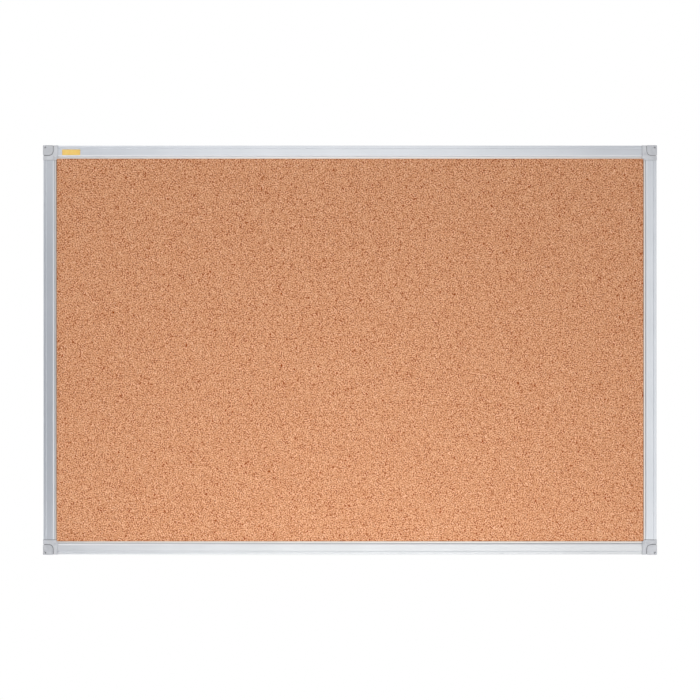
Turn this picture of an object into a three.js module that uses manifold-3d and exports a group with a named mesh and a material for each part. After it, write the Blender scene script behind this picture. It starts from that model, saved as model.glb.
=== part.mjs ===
// Cork notice board in an aluminium frame with four moulded corners and lift-off corner caps.
// Millimetres, +Z up. The wall is the plane y = 0, the front faces -Y, and the origin is the middle
// of the board on the wall. Heights are measured from the wall towards the front, along -Y.

import * as THREE from "three";
import { mergeVertices } from "three/addons/utils/BufferGeometryUtils.js";
import Module from "manifold-3d";

const wasm = await Module();
wasm.setup();

// Board, over the outer edges of the rails
const boardWidth = 900;
const boardHeight = 600;

// Gap between pieces that fit in or against each other
const fitGap = 0.3;

// How far every cutting shape runs past what it cuts
const overrun = 1;

// Panel, from the back to the front
const backingThickness = 0.5;
const coreThickness = 7.6;
const corkThickness = 2;
const panelCornerCut = 8;

// Rail extrusion
const railWall = 1.2;
const railEdgeRadius = 1;
const chamberWidth = 8.4;
const faceWidth = 14;
const slopeWidth = 1.5;
const slopeDrop = 1.3;
const seamWidth = 1.4;
const seamDepth = 0.9;
const lipWidth = 2.2;
const lipThickness = 1.6;
const lipStep = 1.5;
const lipRadius = 0.5;
const lineInset = 4.45;
const lineWidth = 0.9;
const lineDepth = 0.6;
const flangeTrim = 1.7;
const drillLineWidth = 0.8;
const drillLineDepth = 0.3;

// Corner body
const cornerReach = 2.1;
const cornerProud = 0.4;
const cornerEdgeRadius = 1;
const cornerRadius = 1.5;
const screwSeatThickness = 3.2;
const wallScrewHole = 6.4;
const wallScrewInset = 7.6;
const wellWidth = 11.2;
const wellRadius = 3;
const footRim = 2.2;
const footRecess = 1.2;
const footBoss = 2.2;
const coringWall = 1.4;
const coringRib = 1.2;
const coringRoof = 2.4;

// Spigots of the corner body
const spigotLength = 28;
const spigotTeeth = 5;
const toothDepth = 0.6;
const tipLength = 2.4;
const springSlotWidth = 2.2;
const springSlotLength = 9;
const springSlotTip = 4.5;

// Corner cap
const capEdge = 14.55;
const capSeam = 0.5;
const capProud = 0.2;
const capInnerRadius = 6.75;
const capDepth = 8;
const capTop = 1.6;
const capWall = 1.4;
const capRimDepth = 3.2;
const capEdgeRadius = 0.9;
const tongueWidth = 4.2;
const tongueInset = 0.7;
const hookHeight = 1.1;
const prySlotLength = 3.2;
const prySlotWidth = 1.4;
const prySlotInset = 2.9;

// Frame screws
const screwInset = 8;
const screwShank = 2.9;
const screwLength = 9;
const screwTip = 2.2;
const screwHead = 5.6;
const screwHeadHeight = 1.4;
const screwHeadEdge = 0.5;
const screwHeadRoom = 0.3;
const screwCrossLength = 3;
const screwCrossWidth = 0.7;
const screwCrossDepth = 0.8;

// Steps of round shapes
const roundSides = 24;
const screwSides = 16;
const arcSteps = 4;
const bevelSteps = 4;

// Heights above the wall. The feet keep the screw heads behind the rails off the wall.
const railBack = fitGap + screwHeadHeight + screwHeadRoom;
const grooveFloor = railBack + railWall;
const backingBack = grooveFloor + fitGap;
const coreBack = backingBack + backingThickness;
const corkBack = coreBack + coreThickness;
const corkFront = corkBack + corkThickness;
const lipUnder = corkFront + fitGap;
const lipTop = lipUnder + lipThickness;
const railFront = lipTop + lipStep;
const chamberTop = railFront - railWall;
const cornerFront = railFront + cornerProud;
const capFront = cornerFront + capProud;
const capShoulder = capFront - capDepth;

// Places across a rail, from the board's outer edge inwards
const chamberEnd = railWall + chamberWidth;
const chamberMiddle = railWall + chamberWidth / 2;
const grooveRoot = chamberEnd + railWall;
const panelInset = grooveRoot + fitGap;
const slopeEnd = faceWidth + slopeWidth;
const seamEnd = slopeEnd + seamWidth;
const railWidth = seamEnd + lipWidth;
const cornerArm = railWidth + cornerReach;
const seatEdge = capEdge + capSeam;
const railStart = cornerArm + fitGap;
const screwStation = railStart + screwInset;

const quarterTurn = Math.PI / 2;

// A plan has its first coordinate along X and its second along Z, and rises from the wall.
// A section has its first coordinate across the rail and its second as the height above the wall.
const axisX = new THREE.Vector3(1, 0, 0);
const axisZ = new THREE.Vector3(0, 0, 1);
const towardsFront = new THREE.Vector3(0, -1, 0);
const planTurn = new THREE.Matrix4().makeBasis(axisX, axisZ, towardsFront);
const alongXTurn = new THREE.Matrix4().makeBasis(axisZ, towardsFront, axisX);
const alongZTurn = new THREE.Matrix4().makeBasis(axisX, towardsFront, axisZ.clone().negate());

// Closed solid of a geometry, ready to be joined and cut
function solid(geometry) {
  const bare = geometry.clone();
  bare.deleteAttribute("normal");
  bare.deleteAttribute("uv");
  const merged = mergeVertices(bare);
  const mesh = new wasm.Mesh({
    numProp: 3,
    vertProperties: new Float32Array(merged.attributes.position.array),
    triVerts: new Uint32Array(merged.index.array),
  });
  return new wasm.Manifold(mesh);
}

// Geometry of a solid that has been joined and cut
function geometryOf(manifold) {
  const mesh = manifold.getMesh();
  const geometry = new THREE.BufferGeometry();
  geometry.setAttribute("position", new THREE.BufferAttribute(mesh.vertProperties, 3));
  geometry.setIndex(new THREE.BufferAttribute(mesh.triVerts, 1));
  geometry.computeVertexNormals();
  return geometry;
}

// Straight prism of a shape between two places along its own normal
function prism(shape, low, high, turn) {
  const options = { depth: high - low, bevelEnabled: false, curveSegments: arcSteps };
  const geometry = new THREE.ExtrudeGeometry(shape, options);
  geometry.translate(0, 0, low);
  geometry.applyMatrix4(turn);
  return solid(geometry);
}

// Prism of a plan whose edges at both ends are rounded
function roundedPrism(shape, low, high, radius) {
  const options = {
    depth: high - low - 2 * radius,
    curveSegments: arcSteps,
    bevelEnabled: true,
    bevelThickness: radius,
    bevelSize: radius,
    bevelOffset: -radius,
    bevelSegments: bevelSteps,
  };
  const geometry = new THREE.ExtrudeGeometry(shape, options);
  geometry.translate(0, 0, low + radius);
  geometry.applyMatrix4(planTurn);
  return solid(geometry);
}

// Round bar between two heights above the wall, at a place in plan
function bar(diameter, low, high, placeX, placeZ, sides) {
  const geometry = new THREE.CylinderGeometry(diameter / 2, diameter / 2, high - low, sides);
  geometry.translate(placeX, -(low + high) / 2, placeZ);
  return solid(geometry);
}

// Shape through a list of points
function polygon(points) {
  return new THREE.Shape(points.map(([first, second]) => new THREE.Vector2(first, second)));
}

// Points of an outline that lies along X, or swapped so that it lies along Z
function lying(points, swapped) {
  return swapped ? points.map(([first, second]) => [second, first]) : points;
}

// Square outline with one radius at its low corner, one at its high corner and one at the other two
function squareOutline(low, high, lowRadius, highRadius, sideRadius) {
  const shape = new THREE.Shape();
  shape.moveTo(low + lowRadius, low);
  shape.lineTo(high - sideRadius, low);
  shape.absarc(high - sideRadius, low + sideRadius, sideRadius, -quarterTurn, 0, false);
  shape.lineTo(high, high - highRadius);
  shape.absarc(high - highRadius, high - highRadius, highRadius, 0, quarterTurn, false);
  shape.lineTo(low + sideRadius, high);
  shape.absarc(low + sideRadius, high - sideRadius, sideRadius, quarterTurn, 2 * quarterTurn, false);
  shape.lineTo(low, low + lowRadius);
  shape.absarc(low + lowRadius, low + lowRadius, lowRadius, 2 * quarterTurn, 3 * quarterTurn, false);
  return shape;
}

// Long hole with round ends, lying along the first coordinate before it is turned and placed
function slotOutline(length, width, angle, middleFirst, middleSecond) {
  const radius = width / 2;
  const reach = length / 2 - radius;
  const alongFirst = Math.cos(angle) * reach;
  const alongSecond = Math.sin(angle) * reach;
  const shape = new THREE.Shape();
  shape.absarc(
    middleFirst + alongFirst, middleSecond + alongSecond, radius,
    angle - quarterTurn, angle + quarterTurn, false,
  );
  shape.absarc(
    middleFirst - alongFirst, middleSecond - alongSecond, radius,
    angle + quarterTurn, angle + 3 * quarterTurn, false,
  );
  return shape;
}

// Section of the rail extrusion without its chamber: a groove for the panel, and a face that
// steps down to the cork over a slope, a narrow seam and a lip
function railSection() {
  const shape = new THREE.Shape();
  shape.moveTo(railEdgeRadius, railBack);
  shape.lineTo(chamberMiddle - drillLineWidth / 2, railBack);
  shape.lineTo(chamberMiddle, railBack + drillLineDepth);
  shape.lineTo(chamberMiddle + drillLineWidth / 2, railBack);
  shape.lineTo(railWidth - flangeTrim, railBack);
  shape.lineTo(railWidth - flangeTrim, grooveFloor);
  shape.lineTo(grooveRoot, grooveFloor);
  shape.lineTo(grooveRoot, chamberTop);
  shape.lineTo(faceWidth - railWall / 2, chamberTop);
  shape.lineTo(slopeEnd - railWall, lipUnder);
  shape.lineTo(railWidth, lipUnder);
  shape.lineTo(railWidth, lipTop - lipRadius);
  shape.absarc(railWidth - lipRadius, lipTop - lipRadius, lipRadius, 0, quarterTurn, false);
  shape.lineTo(seamEnd, lipTop);
  shape.lineTo(seamEnd, lipTop - seamDepth);
  shape.lineTo(slopeEnd, lipTop - seamDepth);
  shape.lineTo(slopeEnd, railFront - slopeDrop);
  shape.lineTo(faceWidth, railFront);
  shape.lineTo(lineInset + lineWidth / 2, railFront);
  shape.lineTo(lineInset + lineWidth / 2, railFront - lineDepth);
  shape.lineTo(lineInset - lineWidth / 2, railFront - lineDepth);
  shape.lineTo(lineInset - lineWidth / 2, railFront);
  shape.lineTo(railEdgeRadius, railFront);
  shape.absarc(
    railEdgeRadius, railFront - railEdgeRadius, railEdgeRadius, quarterTurn, 2 * quarterTurn, false,
  );
  shape.lineTo(0, railBack + railEdgeRadius);
  shape.absarc(
    railEdgeRadius, railBack + railEdgeRadius, railEdgeRadius, 2 * quarterTurn, 3 * quarterTurn, false,
  );
  return shape;
}

// Section of the closed chamber that takes the spigots
function chamberSection() {
  return polygon([
    [railWall, grooveFloor], [chamberEnd, grooveFloor], [chamberEnd, chamberTop], [railWall, chamberTop],
  ]);
}

// Rail lying along X, its middle over x = 0 and its outer edge at z = 0
function railGeometry(span) {
  const half = span / 2 - railStart;
  let rail = prism(railSection(), -half, half, alongXTurn)
    .subtract(prism(chamberSection(), -half - overrun, half + overrun, alongXTurn));
  for (const side of [-1, 1]) {
    const place = side * (half - screwInset);
    const hole = screwShank + 2 * fitGap;
    rail = rail.subtract(
      bar(hole, railBack - overrun, grooveFloor + overrun, place, chamberMiddle, roundSides),
    );
  }
  return geometryOf(rail);
}

// Section of a corner body's arm: solid, a little proud of the rail, with the rail's slope and lip
function armSection() {
  const lipHeight = lipTop + cornerProud;
  const shape = new THREE.Shape();
  shape.moveTo(-cornerProud, 0);
  shape.lineTo(railWidth, 0);
  shape.lineTo(railWidth, lipHeight - lipRadius);
  shape.absarc(railWidth - lipRadius, lipHeight - lipRadius, lipRadius, 0, quarterTurn, false);
  shape.lineTo(seamEnd, lipHeight);
  shape.lineTo(faceWidth, cornerFront);
  shape.lineTo(-cornerProud, cornerFront);
  shape.closePath();
  return shape;
}

// Plan of a spigot: barbed on both sides, with a tapered tip. Its points run out along the rail.
function spigotOutline(swapped) {
  const near = cornerArm - overrun;
  const crestLow = railWall + fitGap;
  const crestHigh = chamberEnd - fitGap;
  const coreLow = crestLow + toothDepth;
  const coreHigh = crestHigh - toothDepth;
  const pitch = (spigotLength - screwInset - tipLength) / spigotTeeth;
  const firstTooth = cornerArm + screwInset;
  const tip = cornerArm + spigotLength;
  const upper = [[near, crestHigh]];
  const lower = [[near, crestLow]];
  for (let tooth = 0; tooth < spigotTeeth; tooth += 1) {
    const start = firstTooth + tooth * pitch;
    upper.push([start, crestHigh], [start + pitch, coreHigh]);
    lower.push([start, crestLow], [start + pitch, coreLow]);
  }
  upper.push([tip, coreHigh - tipLength / 2]);
  lower.push([tip, coreLow + tipLength / 2]);
  return polygon(lying(lower.concat(upper.reverse()), swapped));
}

// Spigot with its spring slot and the pilot hole of its frame screw, along X or swapped along Z
function spigot(swapped) {
  const low = grooveFloor + fitGap;
  const high = chamberTop - fitGap;
  const slotMiddle = cornerArm + spigotLength - springSlotTip - springSlotLength / 2;
  const slot = swapped
    ? slotOutline(springSlotLength, springSlotWidth, quarterTurn, chamberMiddle, slotMiddle)
    : slotOutline(springSlotLength, springSlotWidth, 0, slotMiddle, chamberMiddle);
  const holeX = swapped ? chamberMiddle : screwStation;
  const holeZ = swapped ? screwStation : chamberMiddle;
  const pilotEnd = railBack + screwLength + fitGap;
  return prism(spigotOutline(swapped), low, high, planTurn)
    .subtract(prism(slot, low - overrun, high + overrun, planTurn))
    .subtract(bar(screwShank + 2 * fitGap, low - overrun, pilotEnd, holeX, holeZ, roundSides));
}

// Plan of the panel's corner with its slanted cut, grown by a margin and run out past the arms
function panelCornerOutline(margin) {
  const near = panelInset - margin;
  const cutEnd = panelInset + panelCornerCut - margin * (Math.SQRT2 - 1);
  const far = cornerArm + overrun;
  return polygon([[near, cutEnd], [cutEnd, near], [far, near], [far, far], [near, far]]);
}

// Recess in the back of the corner's foot, inside a rim and round a boss at the wall screw
function footRecessSolid() {
  const low = footRim - cornerProud;
  const wide = cornerArm - footRim;
  const narrow = railWidth - footRim;
  const outline = polygon([
    [low, low], [wide, low], [wide, narrow], [narrow, narrow], [narrow, wide], [low, wide],
  ]);
  const boss = wallScrewHole + 2 * footBoss;
  const bossEnd = footRecess + overrun;
  return prism(outline, -overrun, footRecess, planTurn)
    .subtract(bar(boss, -2 * overrun, bossEnd, wallScrewInset, wallScrewInset, roundSides));
}

// Pockets that core out one arm of the corner body from the back, on either side of a rib
function coringSolid(swapped) {
  const start = seatEdge + coringWall;
  const end = cornerArm - footRim;
  const low = footRim - cornerProud;
  const high = grooveRoot - coringWall;
  const ribLow = (low + high - coringRib) / 2;
  const ribHigh = ribLow + coringRib;
  const [outer, inner] = [[low, ribLow], [ribHigh, high]].map(([from, to]) => {
    const outline = polygon(lying([[start, from], [end, from], [end, to], [start, to]], swapped));
    return prism(outline, -overrun, cornerFront - coringRoof, planTurn);
  });
  return outer.add(inner);
}

// Corner body, the board's outer corner at x = 0, z = 0 and its arms along +X and +Z
function cornerBodyGeometry() {
  const far = cornerArm + 2 * cornerEdgeRadius;
  const outline = squareOutline(-cornerProud, far, cornerRadius, cornerRadius, cornerRadius);
  const wellLow = wallScrewInset - wellWidth / 2;
  const wellHigh = wallScrewInset + wellWidth / 2;
  const well = squareOutline(wellLow, wellHigh, wellRadius, wellRadius, wellRadius);
  const seatRadius = capInnerRadius + capSeam;
  const seatLow = -cornerProud - 2 * seatRadius;
  const seat = squareOutline(seatLow, seatEdge, seatRadius, seatRadius, seatRadius);
  const holeEnd = screwSeatThickness + overrun;
  return geometryOf(
    prism(armSection(), -cornerProud, cornerArm, alongXTurn)
      .add(prism(armSection(), -cornerArm, cornerProud, alongZTurn))
      .intersect(roundedPrism(outline, 0, cornerFront, cornerEdgeRadius))
      .subtract(prism(panelCornerOutline(fitGap), grooveFloor, lipUnder, planTurn))
      .subtract(prism(seat, capShoulder, cornerFront + overrun, planTurn))
      .subtract(prism(well, screwSeatThickness, capShoulder + overrun, planTurn))
      .subtract(bar(wallScrewHole, -overrun, holeEnd, wallScrewInset, wallScrewInset, roundSides))
      .subtract(footRecessSolid())
      .subtract(coringSolid(false))
      .subtract(coringSolid(true))
      .add(spigot(false))
      .add(spigot(true)),
  );
}

// Snap tongue of a cap on the side of the seam at x = capEdge, with its hook at the free end
function tongueSection() {
  const outer = capEdge - tongueInset;
  const inner = outer - capWall;
  const low = capShoulder + fitGap;
  const high = capFront - capTop / 2;
  return polygon([
    [inner, low],
    [outer, low],
    [capEdge, low + hookHeight],
    [outer, low + hookHeight],
    [outer, high],
    [inner, high],
  ]);
}

// Corner cap in the place of its corner body: a top, two outer skirts, a rim and two snap tongues
function cornerCapGeometry() {
  const outer = -cornerProud - capProud;
  const inside = outer + capWall;
  const low = capShoulder + fitGap;
  const high = capFront + overrun;
  const outline = squareOutline(outer, capEdge, cornerRadius, capInnerRadius, cornerRadius);
  const slab = squareOutline(outer - overrun, capEdge + overrun, overrun, overrun, overrun);
  const cavityRadius = capInnerRadius - capWall;
  const cavity = squareOutline(inside, capEdge - capWall, cornerRadius, cavityRadius, cornerRadius);
  const past = capEdge + overrun;
  const rimCut = polygon([[inside, inside], [past, inside], [past, past], [inside, past]]);
  const tongueMiddle = (inside + capEdge - capInnerRadius) / 2;
  const tongueLow = tongueMiddle - tongueWidth / 2;
  const tongueHigh = tongueMiddle + tongueWidth / 2;
  const prySlot = slotOutline(prySlotLength, prySlotWidth, -quarterTurn / 2, prySlotInset, prySlotInset);
  return geometryOf(
    roundedPrism(outline, low - 2 * capEdgeRadius, capFront, capEdgeRadius)
      .intersect(prism(slab, low, high, planTurn))
      .subtract(prism(cavity, low - overrun, capFront - capTop, planTurn))
      .subtract(prism(rimCut, low - overrun, capFront - capRimDepth, planTurn))
      .add(prism(tongueSection(), -tongueHigh, -tongueLow, alongZTurn))
      .add(prism(tongueSection(), tongueLow, tongueHigh, alongXTurn))
      .subtract(prism(prySlot, low, high, planTurn)),
  );
}

// Frame screw at x = 0, z = 0: a pan head behind the rail and a shank that runs into the spigot
function frameScrewGeometry() {
  const headTop = railBack - fitGap;
  const headBack = headTop - screwHeadHeight;
  const tip = railBack + screwLength;
  const profile = [
    [0, headBack],
    [screwHead / 2 - screwHeadEdge, headBack],
    [screwHead / 2, headBack + screwHeadEdge],
    [screwHead / 2, headTop],
    [screwShank / 2, headTop],
    [screwShank / 2, tip - screwTip],
    [0, tip],
  ].map(([radius, height]) => new THREE.Vector2(radius, -height));
  const turned = solid(new THREE.LatheGeometry(profile.reverse(), screwSides));
  const reach = screwCrossLength / 2;
  const half = screwCrossWidth / 2;
  const cross = polygon([
    [half, half], [reach, half], [reach, -half], [half, -half],
    [half, -reach], [-half, -reach], [-half, -half], [-reach, -half],
    [-reach, half], [-half, half], [-half, reach], [half, reach],
  ].reverse());
  return geometryOf(turned.subtract(prism(cross, headBack - overrun, headBack + screwCrossDepth, planTurn)));
}

// One layer of the panel, a rectangle with slanted corners that clear the screw wells
function panelLayerGeometry(low, high) {
  const endX = boardWidth / 2 - panelInset;
  const endZ = boardHeight / 2 - panelInset;
  const cutX = endX - panelCornerCut;
  const cutZ = endZ - panelCornerCut;
  const outline = polygon([
    [-cutX, -endZ], [cutX, -endZ], [endX, -cutZ], [endX, cutZ],
    [cutX, endZ], [-cutX, endZ], [-endX, cutZ], [-endX, -cutZ],
  ]);
  return geometryOf(prism(outline, low, high, planTurn));
}

const aluminium = { color: 0xccd0d4, metalness: 0.9, roughness: 0.42 };
const cornerPlastic = { color: 0xbcbec2, metalness: 0, roughness: 0.55 };
const capPlastic = { color: 0xb8babe, metalness: 0, roughness: 0.6 };
const cork = { color: 0xd0946e, metalness: 0, roughness: 0.95 };
const softboard = { color: 0xa98a62, metalness: 0, roughness: 1 };
const paper = { color: 0xa7977f, metalness: 0, roughness: 0.9 };
const zincSteel = { color: 0xc2c4c6, metalness: 1, roughness: 0.35 };

// Named mesh of a geometry in its own material
function part(name, geometry, finish) {
  const mesh = new THREE.Mesh(geometry, new THREE.MeshStandardMaterial(finish));
  mesh.name = name;
  return mesh;
}

const board = new THREE.Group();
board.add(part("backing_sheet", panelLayerGeometry(backingBack, coreBack), paper));
board.add(part("core_board", panelLayerGeometry(coreBack, corkBack), softboard));
board.add(part("cork_sheet", panelLayerGeometry(corkBack, corkFront), cork));

const bodyGeometry = cornerBodyGeometry();
const capGeometry = cornerCapGeometry();
const screwGeometry = frameScrewGeometry();

// Each side of the frame is one station: a rail, the corner at its start and two frame screws.
// The next station is the same one turned by a quarter round the middle of the board.
const stations = [
  { side: "bottom", corner: "bottom_left", ends: ["left", "right"] },
  { side: "left", corner: "top_left", ends: ["upper", "lower"] },
  { side: "top", corner: "top_right", ends: ["right", "left"] },
  { side: "right", corner: "bottom_right", ends: ["lower", "upper"] },
];

stations.forEach(({ side, corner, ends }, turn) => {
  const horizontal = turn % 2 === 0;
  const span = horizontal ? boardWidth : boardHeight;
  const edge = (horizontal ? boardHeight : boardWidth) / 2;
  const station = new THREE.Group();
  station.rotation.y = turn * quarterTurn;
  const rail = part(`rail_${side}`, railGeometry(span), aluminium);
  rail.position.z = -edge;
  const body = part(`corner_body_${corner}`, bodyGeometry, cornerPlastic);
  const cap = part(`corner_cap_${corner}`, capGeometry, capPlastic);
  for (const piece of [body, cap]) {
    piece.position.set(-span / 2, 0, -edge);
  }
  station.add(rail, body, cap);
  ends.forEach((end, index) => {
    const screw = part(`frame_screw_${side}_${end}`, screwGeometry, zincSteel);
    const reach = span / 2 - screwStation;
    screw.position.set(index === 0 ? -reach : reach, 0, chamberMiddle - edge);
    station.add(screw);
  });
  board.add(station);
});

export default board;
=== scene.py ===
"""Finishes, label and studio of a cork notice board in an aluminium frame with grey moulded corners.

Lengths are in metres. +X is to the right as seen from the front, +Z is up and the front faces -Y, with
the wall at y = 0.
"""

import logging
import math
from dataclasses import dataclass, field
from enum import Enum

import bmesh
import bpy
from mathutils import Euler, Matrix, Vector


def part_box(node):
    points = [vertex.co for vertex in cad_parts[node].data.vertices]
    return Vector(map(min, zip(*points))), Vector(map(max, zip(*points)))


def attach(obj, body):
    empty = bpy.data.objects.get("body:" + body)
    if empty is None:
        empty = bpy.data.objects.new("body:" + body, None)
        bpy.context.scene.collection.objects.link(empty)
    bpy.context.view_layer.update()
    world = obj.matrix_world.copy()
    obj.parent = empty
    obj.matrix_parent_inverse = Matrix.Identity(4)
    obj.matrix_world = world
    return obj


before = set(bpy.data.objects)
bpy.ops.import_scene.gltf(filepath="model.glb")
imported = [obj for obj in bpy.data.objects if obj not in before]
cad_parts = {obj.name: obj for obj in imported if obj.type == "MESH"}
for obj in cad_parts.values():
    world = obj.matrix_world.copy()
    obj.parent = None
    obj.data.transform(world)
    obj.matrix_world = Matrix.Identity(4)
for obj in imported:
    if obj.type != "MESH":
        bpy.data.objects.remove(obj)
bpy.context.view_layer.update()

MM = 0.001
ORIGIN = (0.0, 0.0, 0.0)
SQUARE_CORNERS = ((1, 1), (-1, 1), (-1, -1), (1, -1))
WHITE = (1.0, 1.0, 1.0, 1.0)

# How far a noise usually strays to both sides of one half
NOISE_REACH = (0.3, 0.7)

# Half the width over which one painted strip passes into the next
STRIP_BORDER = 0.1 * MM

# Places across the rail's profile, from its outer edge; the lip begins to round off at LIP_ROUND
LINE_START = 4.0 * MM
LINE_END = 4.9 * MM
FACE_END = 14.0 * MM
SLOPE_END = 15.5 * MM
SEAM_END = 16.9 * MM
LIP_ROUND = 18.5 * MM
LIP_END = 19.2 * MM

log = logging.getLogger("notice_board")

Colour = tuple[float, float, float, float]
Triple = tuple[float, float, float]
Pair = tuple[float, float]
Levels = tuple[int, int, int]
Tree = bpy.types.NodeTree
Node = bpy.types.Node
Socket = bpy.types.NodeSocket
Source = float | Triple | Colour | Socket


def shade(red: int, green: int, blue: int) -> Colour:
    """Turns a colour as it looks on a screen into the linear one that shaders take.

    Args:
        red: Red level from 0 to 255.
        green: Green level from 0 to 255.
        blue: Blue level from 0 to 255.

    Returns:
        The linear colour with full opacity.
    """
    linear = []
    for level in (red, green, blue):
        share = level / 255
        # The numbers are those of the sRGB curve
        linear.append(share / 12.92 if share <= 0.04045 else ((share + 0.055) / 1.055) ** 2.4)
    return (linear[0], linear[1], linear[2], 1.0)


class Run(Enum):
    """The direction in which a rail runs, with the direction across its face."""

    ALONG_X = ((1.0, 0.0, 0.0), (0.0, 0.0, 1.0))
    ALONG_Z = ((0.0, 0.0, 1.0), (1.0, 0.0, 0.0))

    @property
    def along(self) -> Triple:
        """Unit vector along the rail."""
        return self.value[0]

    @property
    def across(self) -> Triple:
        """Unit vector across the rail's face."""
        return self.value[1]


class Side(Enum):
    """The four sides of the frame, each with the run of its rail and the ends of its two screws."""

    BOTTOM = ("bottom", Run.ALONG_X, ("left", "right"))
    LEFT = ("left", Run.ALONG_Z, ("upper", "lower"))
    TOP = ("top", Run.ALONG_X, ("right", "left"))
    RIGHT = ("right", Run.ALONG_Z, ("lower", "upper"))

    @property
    def word(self) -> str:
        """Name of the side."""
        return self.value[0]

    @property
    def run(self) -> Run:
        """Direction of the side's rail."""
        return self.value[1]

    @property
    def screw_ends(self) -> tuple[str, str]:
        """Names of the ends at which the side's screws sit."""
        return self.value[2]


class Corner(Enum):
    """The four corners of the frame."""

    BOTTOM_LEFT = "bottom_left"
    TOP_LEFT = "top_left"
    TOP_RIGHT = "top_right"
    BOTTOM_RIGHT = "bottom_right"


class Bench:
    """Places nodes in one node tree and joins them."""

    def __init__(self, tree: Tree) -> None:
        """Takes the tree to work in."""
        self.tree = tree

    def add(self, kind: str, **settings: object) -> Node:
        """Adds a node.

        Args:
            kind: Blender's type name of the node.
            **settings: Properties to set on it.

        Returns:
            The new node.
        """
        node = self.tree.nodes.new(kind)
        for name, value in settings.items():
            setattr(node, name, value)
        return node

    def feed(self, socket: Socket, value: Source) -> None:
        """Links an output to a socket, or sets the socket to a plain value.

        Args:
            socket: The input that takes the value.
            value: The output or plain value.
        """
        if isinstance(value, Socket):
            self.tree.links.new(value, socket)
        else:
            socket.default_value = value

    def fill(self, node: Node, **values: Source) -> None:
        """Feeds a node's inputs, by their names with underscores for spaces."""
        for name, value in values.items():
            self.feed(node.inputs[name.replace("_", " ")], value)

    def coat(self, **values: Source) -> None:
        """Feeds the inputs of the material's surface shader."""
        self.fill(self.tree.nodes["Principled BSDF"], **values)

    def here(self) -> Socket:
        """Gives the place on the piece."""
        return self.add("ShaderNodeTexCoord").outputs["Object"]

    def math(self, operation: str, first: Source, second: Source = 0.0) -> Socket:
        """Works out one operation on two numbers.

        Args:
            operation: Name of the operation.
            first: First number or output.
            second: Second number or output.

        Returns:
            The output with the result.
        """
        node = self.add("ShaderNodeMath", operation=operation)
        self.feed(node.inputs[0], first)
        self.feed(node.inputs[1], second)
        return node.outputs[0]

    def plus(self, first: Source, second: Source) -> Socket:
        """Adds two numbers."""
        return self.math("ADD", first, second)

    def minus(self, first: Source, second: Source) -> Socket:
        """Takes the second number from the first."""
        return self.math("SUBTRACT", first, second)

    def times(self, first: Source, second: Source) -> Socket:
        """Multiplies two numbers."""
        return self.math("MULTIPLY", first, second)

    def absolute(self, number: Source) -> Socket:
        """Leaves out a number's sign."""
        return self.math("ABSOLUTE", number)

    def vector(self, operation: str, first: Source, second: Source = ORIGIN) -> Socket:
        """Works out one operation on two vectors.

        Args:
            operation: Name of the operation.
            first: First vector or output.
            second: Second vector or output.

        Returns:
            The output with the resulting vector, or with the number where the result is one.
        """
        node = self.add("ShaderNodeVectorMath", operation=operation)
        self.feed(node.inputs[0], first)
        self.feed(node.inputs[1], second)
        return node.outputs["Value" if operation in ("DOT_PRODUCT", "LENGTH") else "Vector"]

    def scale(self, vector: Source, factor: Source) -> Socket:
        """Scales a vector by a number.

        Args:
            vector: The vector output.
            factor: The number or output to scale by.

        Returns:
            The output with the scaled vector.
        """
        node = self.add("ShaderNodeVectorMath", operation="SCALE")
        self.fill(node, Vector=vector, Scale=factor)
        return node.outputs["Vector"]

    def shrink(self, vector: Source, unit: Source) -> Socket:
        """Measures a vector in another unit of length."""
        return self.scale(vector, self.math("DIVIDE", 1.0, unit))

    def split(self, vector: Source) -> tuple[Socket, Socket, Socket]:
        """Parts a vector.

        Args:
            vector: The vector output.

        Returns:
            The outputs with its X, Y and Z.
        """
        node = self.add("ShaderNodeSeparateXYZ")
        self.feed(node.inputs[0], vector)
        return node.outputs["X"], node.outputs["Y"], node.outputs["Z"]

    def seen_flat(self, vector: Source) -> Socket:
        """Turns a place in space into one on the board's face.

        Args:
            vector: The output with the place.

        Returns:
            The output with the place's X and Z as a flat X and Y.
        """
        sideways, _, upwards = self.split(vector)
        node = self.add("ShaderNodeCombineXYZ")
        self.fill(node, X=sideways, Y=upwards)
        return node.outputs[0]

    def spread(self, value: Source, low: float, high: float, start: float, end: float) -> Socket:
        """Maps a number smoothly and clamped from one range to another.

        Args:
            value: Number or output to map.
            low: Where the mapping starts.
            high: Where the mapping ends.
            start: Result at and before low.
            end: Result at and past high.

        Returns:
            The output with the mapped number.
        """
        node = self.add("ShaderNodeMapRange", interpolation_type="SMOOTHSTEP")
        for socket, number in zip(node.inputs[:5], (value, low, high, start, end)):
            self.feed(socket, number)
        return node.outputs[0]

    def swing(self, noise: Source, low: float, high: float) -> Socket:
        """Maps what a noise usually reaches to a range."""
        return self.spread(noise, *NOISE_REACH, low, high)

    def step(self, value: Source, place: float, before: float, after: float) -> Socket:
        """Passes from one number to another where a value passes a place."""
        return self.spread(value, place - STRIP_BORDER, place + STRIP_BORDER, before, after)

    def mix(self, factor: Source, first: Source, second: Source) -> Socket:
        """Mixes two colours.

        Args:
            factor: How much of the second colour is taken.
            first: First colour or output.
            second: Second colour or output.

        Returns:
            The output with the mixed colour.
        """
        node = self.add("ShaderNodeMix", data_type="RGBA")
        places = {socket.identifier: socket for socket in node.inputs}
        self.feed(places["Factor_Float"], factor)
        self.feed(places["A_Color"], first)
        self.feed(places["B_Color"], second)
        return next(socket for socket in node.outputs if socket.identifier == "Result_Color")

    def between(self, value: Source, reach: Pair, first: Source, second: Source) -> Socket:
        """Passes from one colour to another as a value crosses a range."""
        return self.mix(self.spread(value, *reach, 0.0, 1.0), first, second)

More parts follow.
